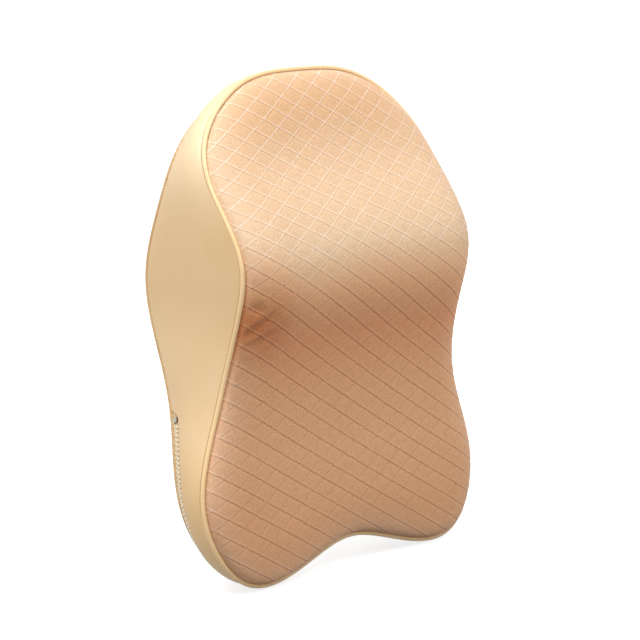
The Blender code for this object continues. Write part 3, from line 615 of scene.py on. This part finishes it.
# Piping: a bias strip of the same leatherette folded round a 2.4 mm cord. It is caught in the
# front seam, so that a thin round edge stands out all the way round the panel.
PIPING_RADIUS, PIPING_SIDES = 1.5, 12
piping_seam, piping_normals = seam_loop(432)
rings = []
for angle in np.linspace(0, 2 * math.pi, PIPING_SIDES + 1)[:-1]:
    ring = np.stack([piping_seam[:, 0], -front_depth(piping_seam[:, 1]), piping_seam[:, 1]], 1)
    out = np.stack([piping_normals[:, 0], 0 * piping_normals[:, 0], piping_normals[:, 1]], 1)
    rings.append(ring + PIPING_RADIUS * (out * math.cos(angle) + np.array([0, -math.sin(angle), 0])))
rings.append(rings[0])
piping_mesh = rings_mesh("piping_cord", rings)
piping_shape = bmesh.new()
piping_shape.from_mesh(piping_mesh)
bmesh.ops.remove_doubles(piping_shape, verts=piping_shape.verts, dist=0.001 * MM)
bmesh.ops.recalc_face_normals(piping_shape, faces=piping_shape.faces)
into_mesh(piping_shape, piping_mesh)
piping = add_piece("piping_cord", piping_mesh)


def leatherette(name, tones, roughness):
    """PVC-coated fabric, embossed with a fine pebble grain: satin, so that a large form shades
    softly. Its colour over its height, given as heights in mm and colours, is painted light and shade;
    it also changes with handling, and it is rougher where it is rubbed. Its real grain of 0.4 mm is drawn at
    0.8 mm."""
    slot, tree, shader = finish_material(name)
    place = node(tree, "TexCoord").outputs["Object"]
    grain = node(tree, "TexVoronoi", {"Scale": 1 / (0.8 * MM), "feature": "SMOOTH_F1"}, Vector=place)
    wear = node(tree, "TexNoise", {"Scale": 1 / (70 * MM), "Detail": 3}, Vector=place)
    # Painted light and shade: the colour ramp over the piece's height.
    height = node(tree, "SeparateXYZ", Vector=place).outputs["Z"]
    level = node(tree, "MapRange", {"From Min": -REST_HEIGHT * MM,
                                    "From Max": (PILLOW_HEIGHT - REST_HEIGHT) * MM}, Value=height)
    tone = node(tree, "ValToRGB", Fac=level.outputs["Result"])
    lay_tones(tone, tones)
    handled = node(tree, "MapRange", {"From Min": 0.35, "From Max": 0.65}, Value=wear.outputs["Fac"])
    colour = node(tree, "Mix", {"data_type": "RGBA", "blend_type": "MULTIPLY", 7: "#F8F4EC"},
                  i0=handled.outputs["Result"], i6=tone.outputs["Color"])
    rubbed = node(tree, "MapRange", {"From Min": 0.3, "From Max": 0.7, "To Min": roughness + 0.06,
                                     "To Max": roughness - 0.04}, Value=wear.outputs["Fac"])
    bump = node(tree, "Bump", {"Strength": 0.14, "Distance": 0.2 * MM}, Height=grain.outputs["Distance"])
    feed(shader, Base_Color=colour.outputs[2], Roughness=rubbed.outputs["Result"],
         Normal=bump.outputs["Normal"])
    return slot


# Painted light: the piping is paler towards the top.
PIPING_TONES = [(-100, "#EDCB99"), (100, "#F2D3A3")]
piping_mesh.materials.append(leatherette("PVC leatherette, piping", PIPING_TONES, 0.42))
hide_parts("front_piping")

# Side band: a long gusset of PVC leatherette on a thin foam backing. Its edges turn in at the
# piping and at the zip, and it bows outwards over the foam between them.
BAND_THICKNESS = 2.5
BAND_TURN, BAND_TURN_DEPTH = 4.0, 1.3
BAND_RISE = 0.6             # it stands this much further out than the foam's bow
SEAM_GAP, PIPING_GAP = 0.3, 1.8         # left free at the rear seam, and for the piping
ZIP_SLOT = 9.2
ZIP_TOP = 100               # the zip's ends are at the first stations below this height
STATIONS = 72               # the seam is counted in seventy-seconds, from the top
SLOT_BEFORE, SLOT_AFTER, SLOT_TAPER = 0.9, 0.65, 0.3    # how the slot ends past the zip, in stations


def band_bulge(share, width):
    """The bow, and a tighter turn inwards over the last millimetres before each seam."""
    edge = np.minimum(share, 1 - share) * width
    turn = np.clip(1 - edge / BAND_TURN, 0, 1)
    return bow(share, width) + BAND_RISE - BAND_TURN_DEPTH * turn ** 2.5


zip_start = next(i for i, point in enumerate(seam_loop(STATIONS)[0]) if point[1] < ZIP_TOP - REST_HEIGHT)
zip_finish = STATIONS - zip_start
band_seam, band_normals = seam_loop(12 * STATIONS)
station = np.arange(12 * STATIONS) / 12
inside_slot = np.clip((station - zip_start + SLOT_BEFORE) / SLOT_TAPER, 0, 1)
inside_slot *= np.clip((zip_finish + SLOT_AFTER - station) / SLOT_TAPER, 0, 1)
slot_width = SEAM_GAP + (ZIP_SLOT - SEAM_GAP) * inside_slot ** 2 * (3 - 2 * inside_slot)
shares = 0.5 - 0.5 * np.cos(np.linspace(0, math.pi, 25))
band_rings = [band_points(band_seam, band_normals,
                          lambda w, s=s: slot_width + (w - PIPING_GAP - slot_width) * s, band_bulge)
              for s in shares]
band_mesh = rings_mesh("leatherette_band", band_rings)
band = add_piece("leatherette_band", band_mesh)
thickness = band.modifiers.new("leatherette and foam", "SOLIDIFY")
thickness.thickness = BAND_THICKNESS * MM
thickness.offset = -1
# Painted light and shade over the band's height: palest at the top, darker at the waist and at the bottom.
BAND_PAINTED_SHADING = [(-122, "#E0BD8B"), (-71, "#E3C49A"), (-20, "#E7C799"), (12, "#DDBC8E"), (42, "#E1C092"),
              (90, "#ECD2AC")]
band_mesh.materials.append(leatherette("PVC leatherette, embossed", BAND_PAINTED_SHADING, 0.45))
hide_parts("side_band")

# Back panel: a plain woven polyester backing cloth, cut to the smaller rear outline and turned in
# at its seam. It lies flat in the middle, where the pillow bears on the seat.
BACK_TURN = [(4.2, 1.3), (0.6, 0.7)]    # its turned-in edge: inset, and depth under the rear seam
BACK_INSETS = [0.5, 0.75, 1.1, 1.6, 2.3, 3.3, 4.7, 6.5, 9, 13, 20, 30.1]
BACK_SHARES = [0.9, 0.8, 0.7, 0.6, 0.5, 0.4, 0.3, 0.2, 0.1]
back_seam, back_normals = seam_loop(288)
back_rings = []
for inset, sunk in BACK_TURN:
    ring = back_seam * REAR_TAPER - back_normals * inset
    back_rings.append(np.stack([ring[:, 0], -rear_depth(ring[:, 1]) - sunk, ring[:, 1]], 1))
back_rings += [back_points(back_seam, back_normals, inset) for inset in BACK_INSETS]
back_rings += [back_points(back_seam, back_normals, BACK_INSETS[-1], share) for share in BACK_SHARES]
back_mesh = rings_mesh("backing_panel", back_rings[::-1],
                       first_tip=back_points(back_seam[:1], back_normals[:1], BACK_INSETS[-1], 0)[0])
back_panel = add_piece("backing_panel", back_mesh)
# Plain-woven polyester: matt, with an even over-and-under of round yarns. The real yarns are
# 0.5 mm apart, less than a pixel, so they are drawn at 1.6 mm.
backing, tree, shader = finish_material("polyester, plain woven", Roughness=0.85, Sheen_Weight=0.1)
YARN = 1.6 * MM
place = node(tree, "TexCoord").outputs["Object"]
weft, warp = (node(tree, "TexWave", {"bands_direction": way, "Scale": WAVE_RUN / YARN,
                                     "Distortion": 0.6, "Detail Scale": 0.4}, Vector=place)
              for way in ("Z", "X"))
weave = node(tree, "Math", {"operation": "MULTIPLY"}, i0=weft.outputs["Fac"], i1=warp.outputs["Fac"])
tone = node(tree, "ValToRGB", Fac=weave.outputs[0])
tone.color_ramp.elements[0].color = hex_colour("#CDA977")
tone.color_ramp.elements[1].color = hex_colour("#E4C596")
slub = node(tree, "TexNoise", {"Scale": 1 / (9 * MM), "Detail": 3}, Vector=place)
shade = node(tree, "Math", {"operation": "MULTIPLY", 1: 0.3}, i0=slub.outputs["Fac"])
cloth_tone = node(tree, "Mix", {"data_type": "RGBA", "blend_type": "MULTIPLY", 7: "#DCC09A"},
                  i0=shade.outputs[0], i6=tone.outputs["Color"])
bump = node(tree, "Bump", {"Strength": 0.4, "Distance": 0.3 * MM}, Height=weave.outputs[0])
feed(shader, Base_Color=cloth_tone.outputs[2], Normal=bump.outputs["Normal"])
back_mesh.materials.append(backing)
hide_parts("back_panel")

# Zip tapes: two tapes of woven polyester, sewn in under the band's edge and under the back
# panel's. They meet under the teeth, and run from one side round the bottom to the other.
FINE = 60                   # points of the fine seam to a station
TAPE_PAST = 12              # and how many of them the tapes run on, past the next station
TAPE_STEP = 6               # every sixth of them is a point of the tapes
TAPE_INSET, TAPE_SUNK = 4, 1.5          # the rear tape's hidden edge, inside the back panel's
TAPE_THICKNESS = 0.5
TAPE_FRONT = [(4.75, 0.8), (7.2, 0.8), (9.3, 1.2), (10.6, 1.7)]     # from the rear seam, and sunk by
TAPE_REAR = [(0.8, 1.1), (2.3, 0.8), (4.45, 0.8)]
zip_seam, zip_normals = seam_loop(FINE * STATIONS)
SEAM_STEP = np.hypot(*(np.roll(zip_seam, -1, axis=0) - zip_seam).T).sum() / STATIONS
tape_rows = np.arange(FINE * (zip_start - 1) - TAPE_PAST, FINE * (zip_finish + 1) + TAPE_PAST + 1, TAPE_STEP)


def tape_row(from_rear, depth):
    """Points along a zip tape: so far from the rear seam, and so far below the band's surface."""
    return band_points(zip_seam[tape_rows], zip_normals[tape_rows], lambda width: from_rear + 0 * width,
                       lambda share, width: bow(share, width) - depth)


inner = zip_seam[tape_rows] * REAR_TAPER - zip_normals[tape_rows] * TAPE_INSET
inner = np.stack([inner[:, 0], -rear_depth(inner[:, 1]) - TAPE_SUNK, inner[:, 1]], 1)
tapes = [("woven_tape_front", [tape_row(*place) for place in TAPE_FRONT], "zip_front_tape"),
         ("woven_tape_rear", [inner] + [tape_row(*place) for place in TAPE_REAR], "zip_rear_tape")]
# Woven polyester tape: matt, with a fine herringbone across it, drawn at 1.2 mm for a real 0.8.
HERRINGBONE, HERRINGBONE_ROW = 1.2, 1.5
TAPE_ROW_STEP = 2.4         # mean distance between the rows of points across a tape
tape, tree, shader = finish_material("polyester tape, woven", Roughness=0.8, Sheen_Weight=0.1)
along, across = (node(tree, "Attribute", {"attribute_name": name}).outputs["Fac"]
                 for name in ("along", "across"))
bent = node(tree, "Math", {"operation": "PINGPONG", 1: HERRINGBONE_ROW}, i0=across)
slanted = node(tree, "Math", {"operation": "ADD"}, i0=along, i1=bent.outputs[0])
turned = node(tree, "Math", {"operation": "MULTIPLY", 1: 2 * math.pi / HERRINGBONE}, i0=slanted.outputs[0])
twill = node(tree, "Math", {"operation": "SINE"}, i0=turned.outputs[0])
tone = node(tree, "MapRange", {"From Min": -1, "From Max": 1}, Value=twill.outputs[0])
colour = node(tree, "Mix", {"data_type": "RGBA", 6: "#CFB184", 7: "#E8CFA4"}, i0=tone.outputs["Result"])
bump = node(tree, "Bump", {"Strength": 0.3, "Distance": 0.2 * MM}, Height=twill.outputs[0])
feed(shader, Base_Color=colour.outputs[2], Normal=bump.outputs["Normal"])
for name, rows, stands_for in tapes:
    tape_mesh = rings_mesh(name, rows, closed=False)
    for label, values in (("along", np.tile(tape_rows * SEAM_STEP / FINE, len(rows))),
                          ("across", np.repeat(np.arange(len(rows)) * TAPE_ROW_STEP, len(tape_rows)))):
        layer = tape_mesh.attributes.new(label, "FLOAT", "POINT")
        layer.data.foreach_set("value", values.astype(np.float32))
    tape_piece = add_piece(name, tape_mesh)
    thickness = tape_piece.modifiers.new("tape", "SOLIDIFY")
    thickness.thickness = TAPE_THICKNESS * MM
    thickness.offset = -1
    tape_mesh.materials.append(tape)
    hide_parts(stands_for)

# Zip teeth: two rows of acetal teeth, moulded on the edges of the tapes. The zip is closed, so
# each tooth's head lies between two heads of the other row.
TOOTH_PITCH = 2.65
# Sections of a tooth from its root to its head: distance from the middle, half width, height.
TOOTH = [(2.5, 0.9, 0.0), (1.7, 1.0, 0.25), (0.8, 0.66, 0.4), (-0.1, 0.5, 0.4), (-0.8, 0.56, 0.3)]
TOOTH_ROOT, TOOTH_SIDE, TOOTH_EDGE = 1.7, 0.3, 0.25     # its depth, and its bevel's height and width
tooth_count = 2 * int((zip_finish - zip_start) * SEAM_STEP / TOOTH_PITCH)
tooth_stations = zip_start + np.arange(tooth_count) * (zip_finish - zip_start) / tooth_count
spots = []
# Each tooth's own place, and three close by that give its directions: towards the front, and along.
for shift, reach in ((0, 0), (0, 0.3), (-0.5, 0), (0.5, 0)):
    rows = np.round((tooth_stations + shift) * FINE).astype(int)
    spots.append(band_points(zip_seam[rows], zip_normals[rows],
                             lambda width: ZIP_SLOT / 2 + reach + 0 * width, bow))
teeth_shape = bmesh.new()
for k, (here, forward, before, after) in enumerate(zip(*spots)):
    here = Vector(here)
    run = (Vector(after) - Vector(before)).normalized()
    forward = Vector(forward) - here
    side = (forward - run * forward.dot(run)).normalized()
    out = side.cross(run)
    rings = []
    for reach, half, top in TOOTH:
        section = [(-half, -TOOTH_ROOT), (half, -TOOTH_ROOT), (half, top - TOOTH_SIDE),
                   (half - TOOTH_EDGE, top), (TOOTH_EDGE - half, top), (-half, top - TOOTH_SIDE)]
        rings.append([teeth_shape.verts.new((here + side * reach * (-1) ** k + run * u + out * v) * MM)
                      for u, v in section])
    for low, high in zip(rings, rings[1:]):
        for j in range(len(low)):
            teeth_shape.faces.new((low[j], low[j - 1], high[j - 1], high[j]))
    teeth_shape.faces.new(rings[0])
    teeth_shape.faces.new(rings[-1][::-1])
bmesh.ops.recalc_face_normals(teeth_shape, faces=teeth_shape.faces)
teeth_mesh = bpy.data.meshes.new("zip_teeth")
into_mesh(teeth_shape, teeth_mesh)
teeth_mesh.set_sharp_from_angle(angle=math.radians(50))
teeth = add_piece("zip_teeth", teeth_mesh)
# Moulded acetal: waxy and satin, a little darker where dust settles between the teeth.
acetal, tree, shader = finish_material("acetal, moulded on the tape", Roughness=0.35, IOR=1.48)
place = node(tree, "TexCoord").outputs["Object"]
dust = node(tree, "TexNoise", {"Scale": 1 / (3 * MM), "Detail": 2}, Vector=place)
colour = node(tree, "Mix", {"data_type": "RGBA", 6: "#EAD6B2", 7: "#FAEDD4"}, i0=dust.outputs["Fac"])
feed(shader, Base_Color=colour.outputs[2])
teeth_mesh.materials.append(acetal)
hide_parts("zip_chain")

# Zip slider, pull tab and end stop: die-cast zinc, plated with nickel. The slider sits at the
# right-hand end of the closed zip, with its tab hung from a wire bail.
# Nickel plate is bright and faintly yellow, with a satin haze where fingers have rubbed it.
plate, tree, shader = finish_material("zinc, nickel plated", Metallic=1.0)
place = node(tree, "TexCoord").outputs["Object"]
haze = node(tree, "TexNoise", {"Scale": 1 / (2.5 * MM), "Detail": 4}, Vector=place)
colour = node(tree, "Mix", {"data_type": "RGBA", 6: "#A8A398", 7: "#C6C1B6"}, i0=haze.outputs["Fac"])
rubbed = node(tree, "MapRange", {"From Min": 0.3, "From Max": 0.7, "To Min": 0.22, "To Max": 0.4},
              Value=haze.outputs["Fac"])
scratches = node(tree, "TexNoise", {"Scale": 1 / (0.6 * MM), "Detail": 2}, Vector=place)
bump = node(tree, "Bump", {"Strength": 0.06, "Distance": 0.1 * MM}, Height=scratches.outputs["Fac"])
feed(shader, Base_Color=colour.outputs[2], Roughness=rubbed.outputs["Result"],
     Normal=bump.outputs["Normal"])


def dress(material, *names):
    """Gives pieces that are the CAD's own shapes their material."""
    for name in names:
        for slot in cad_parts[name].material_slots:
            slot.material = material


dress(plate, "zip_slider", "zip_pull_tab", "zip_end_stop")

# Strap: 25 mm elastic webbing, black, sewn to the back at both sides and looped through the
# buckle. Its rubber cores make fine ribs along it, 1.25 mm apart.
webbing, tree, shader = finish_material("elastic webbing, woven", Roughness=0.75, Sheen_Weight=0.15)
RIB, PICK = 1.25 * MM, 0.9 * MM
place = node(tree, "TexCoord").outputs["Object"]
rib = node(tree, "TexWave", {"bands_direction": "Z", "Scale": WAVE_RUN / RIB}, Vector=place)
pick = node(tree, "TexWave", {"bands_direction": "X", "Scale": WAVE_RUN / PICK, "Distortion": 1.5},
            Vector=place)
weave = node(tree, "Math", {"operation": "MULTIPLY_ADD", 1: 0.35}, i0=pick.outputs["Fac"],
             i2=rib.outputs["Fac"])
tone = node(tree, "MapRange", {"From Max": 1.35}, Value=weave.outputs[0])
colour = node(tree, "Mix", {"data_type": "RGBA", 6: "#121214", 7: "#2A2A2E"}, i0=tone.outputs["Result"])
bump = node(tree, "Bump", {"Strength": 0.5, "Distance": 0.3 * MM}, Height=weave.outputs[0])
feed(shader, Base_Color=colour.outputs[2], Normal=bump.outputs["Normal"])
dress(webbing, "strap_left", "strap_right")

# Box stitches: bonded nylon thread, in a box and a cross through both layers of each hem.
STITCH_PITCH, STITCH_LENGTH, THREAD = 3.0, 2.5, 0.5
STRAP_LEVEL, HEM_FACE = 35, 3.4         # height of the strap's middle, and its hem's outer face
HEM_MIDDLE, BOX = 63.4, (7.5, 9.5)      # each hem's distance from the middle, and half the box
stitch_shape = bmesh.new()
for middle in (-HEM_MIDDLE, HEM_MIDDLE):
    corners = [(middle + x * BOX[0], STRAP_LEVEL + z * BOX[1])
               for x, z in ((-1, -1), (1, -1), (1, 1), (-1, 1))]
    for first, last in ((0, 1), (1, 2), (2, 3), (3, 0), (0, 2), (1, 3)):
        start, end = (Vector((corners[c][0], HEM_FACE, corners[c][1])) for c in (first, last))
        run = end - start
        count = int(run.length / STITCH_PITCH)
        for k in range(count):
            turn = run.to_track_quat("X", "Z").to_matrix().to_4x4()
            shape = Matrix.Diagonal((STITCH_LENGTH / 2 * MM, THREAD / 2 * MM, THREAD / 2 * MM, 1))
            spot = Matrix.Translation((start + run * (k + 0.5) / count) * MM)
            bmesh.ops.create_uvsphere(stitch_shape, u_segments=8, v_segments=6, radius=1,
                                      matrix=spot @ turn @ shape)
stitch_mesh = bpy.data.meshes.new("box_stitches")
into_mesh(stitch_shape, stitch_mesh)
stitches = add_piece("box_stitches", stitch_mesh)
# Bonded nylon thread is smooth and shows a bright fleck on each stitch; its twist is 0.8 mm long.
thread, tree, shader = finish_material("nylon thread, bonded", Roughness=0.4)
place = node(tree, "TexCoord").outputs["Object"]
twist = node(tree, "TexWave", {"bands_direction": "DIAGONAL", "Scale": WAVE_RUN / (0.8 * MM)}, Vector=place)
colour = node(tree, "Mix", {"data_type": "RGBA", 6: "#2A2A2E", 7: "#55555C"}, i0=twist.outputs["Fac"])
feed(shader, Base_Color=colour.outputs[2])
stitch_mesh.materials.append(thread)

# Buckle: a side-release buckle, injection moulded in black acetal, 34 mm wide.
# Its mould is spark-eroded, so the plastic is satin, with a fine even grain drawn at 0.7 mm.
moulded, tree, shader = finish_material("acetal, injection moulded", Roughness=0.42, IOR=1.48)
place = node(tree, "TexCoord").outputs["Object"]
eroded = node(tree, "TexNoise", {"Scale": 1 / (0.7 * MM), "Detail": 3}, Vector=place)
handled = node(tree, "TexNoise", {"Scale": 1 / (12 * MM), "Detail": 2}, Vector=place)
colour = node(tree, "Mix", {"data_type": "RGBA", 6: "#141416", 7: "#242427"}, i0=handled.outputs["Fac"])
rubbed = node(tree, "MapRange", {"From Min": 0.3, "From Max": 0.7, "To Min": 0.36, "To Max": 0.5},
              Value=handled.outputs["Fac"])
bump = node(tree, "Bump", {"Strength": 0.12, "Distance": 0.1 * MM}, Height=eroded.outputs["Fac"])
feed(shader, Base_Color=colour.outputs[2], Roughness=rubbed.outputs["Result"],
     Normal=bump.outputs["Normal"])
dress(moulded, "buckle_socket", "buckle_plug")

# Studio: a plain white floor and a soft overhead light, with the camera at the photo's angle.
floor_mesh = bpy.data.meshes.new("studio_floor")
FLOOR_HALF = 40
corners = [(x * FLOOR_HALF, y * FLOOR_HALF, 0) for x, y in ((-1, -1), (1, -1), (1, 1), (-1, 1))]
floor_mesh.from_pydata(corners, [], [(0, 1, 2, 3)])
floor = bpy.data.objects.new("studio_floor", floor_mesh)
floor.location.z = cad_box[0].z - 1 * MM
bpy.context.scene.collection.objects.link(floor)
# Matt white paper: it looks white and shows only the pillow's shadow, and lights it as grey would.
paper, tree, shader = finish_material("white paper, matt", Base_Color="#8E8E8E", Roughness=0.9)


def looked_at(tree):
    """1 where a thing is looked at, also in gloss and through glass, and 0 where it lights."""
    path = node(tree, "LightPath")
    mirrored = node(tree, "Math", {"operation": "MAXIMUM"}, i0=path.outputs["Is Glossy Ray"],
                    i1=path.outputs["Is Transmission Ray"])
    return node(tree, "Math", {"operation": "MAXIMUM"}, i0=path.outputs["Is Camera Ray"],
                i1=mirrored.outputs[0]).outputs[0]


spot = node(tree, "TexCoord").outputs["Object"]
reach = node(tree, "VectorMath", {"operation": "LENGTH"}, i0=spot).outputs["Value"]
far = node(tree, "MapRange", {"interpolation_type": "SMOOTHSTEP", "From Min": 0.2, "From Max": 0.5,
                              "To Min": 0.8}, Value=reach)
glow = node(tree, "Emission", {"Color": (1, 1, 1, 1)}, Strength=far.outputs["Result"])
both = node(tree, "AddShader", i0=shader.outputs[0], i1=glow.outputs[0])
mixed = node(tree, "MixShader", i0=looked_at(tree), i1=shader.outputs[0], i2=both.outputs[0])
tree.links.new(mixed.outputs[0], tree.nodes["Material Output"].inputs["Surface"])
floor_mesh.materials.append(paper)

world = bpy.data.worlds.new("studio")
bpy.context.scene.world = world
world.use_nodes = True
tree = world.node_tree
fill = tree.nodes["Background"]
fill.inputs["Color"].default_value = hex_colour("#FFFDFA")
fill.inputs["Strength"].default_value = 0.3
white = node(tree, "Background", {"Color": (1, 1, 1, 1), "Strength": 1})
mixed = node(tree, "MixShader", i0=looked_at(tree), i1=fill.outputs[0], i2=white.outputs[0])
tree.links.new(mixed.outputs[0], tree.nodes["World Output"].inputs["Surface"])

PILLOW_MIDDLE = Vector((0, -0.05, 0))


def soft_light(name, place, size, power):
    """A round soft box that faces the pillow: its place and width in metres, and its power in watts."""
    lamp = bpy.data.lights.new(name, "AREA")
    lamp.shape = "DISK"
    lamp.size = size
    lamp.energy = power
    thing = bpy.data.objects.new(name, lamp)
    bpy.context.scene.collection.objects.link(thing)
    thing.location = place
    thing.rotation_euler = (PILLOW_MIDDLE - Vector(place)).to_track_quat("-Z", "Y").to_euler()


soft_light("above_front", (0, -0.96, 1.28), 0.7, 12.5)
soft_light("above", (0, 0.1, 1.6), 0.7, 4.5)
soft_light("above_left", (-0.96, 0.16, 1.27), 0.7, 16.7)
soft_light("right_front", (1.12, -1.04, 0.48), 0.7, 5.3)
soft_light("left", (-1.45, -0.5, 0.48), 0.7, 4.4)
soft_light("behind", (1.2, 0.9, 0.7), 0.9, 11)

# The camera stands where the photograph's was, found from its traced seams and its knit grid.
# Its pixels are those of the 640 x 640 frame.
TARGET = Vector((0, -56, -13)) * MM
AZIMUTH, ELEVATION = math.radians(-48), math.radians(9.53)
DISTANCE = 1.669
FOCAL_PX, CENTRE_PX, FRAME_PX = 2713, (315.2, 314.0), 640
back_way = Vector((math.sin(AZIMUTH) * math.cos(ELEVATION), -math.cos(AZIMUTH) * math.cos(ELEVATION),
                   math.sin(ELEVATION)))
lens = bpy.data.cameras.new("camera")
lens.sensor_width = 36
lens.lens = 36 * FOCAL_PX / FRAME_PX
lens.shift_x = (FRAME_PX / 2 - CENTRE_PX[0]) / FRAME_PX
lens.shift_y = (CENTRE_PX[1] - FRAME_PX / 2) / FRAME_PX
camera = bpy.data.objects.new("camera", lens)
bpy.context.scene.collection.objects.link(camera)
camera.location = TARGET + back_way * DISTANCE
camera.rotation_euler = (-back_way).to_track_quat("-Z", "Y").to_euler()
bpy.context.scene.camera = camera
bpy.context.scene.view_settings.view_transform = "Standard"
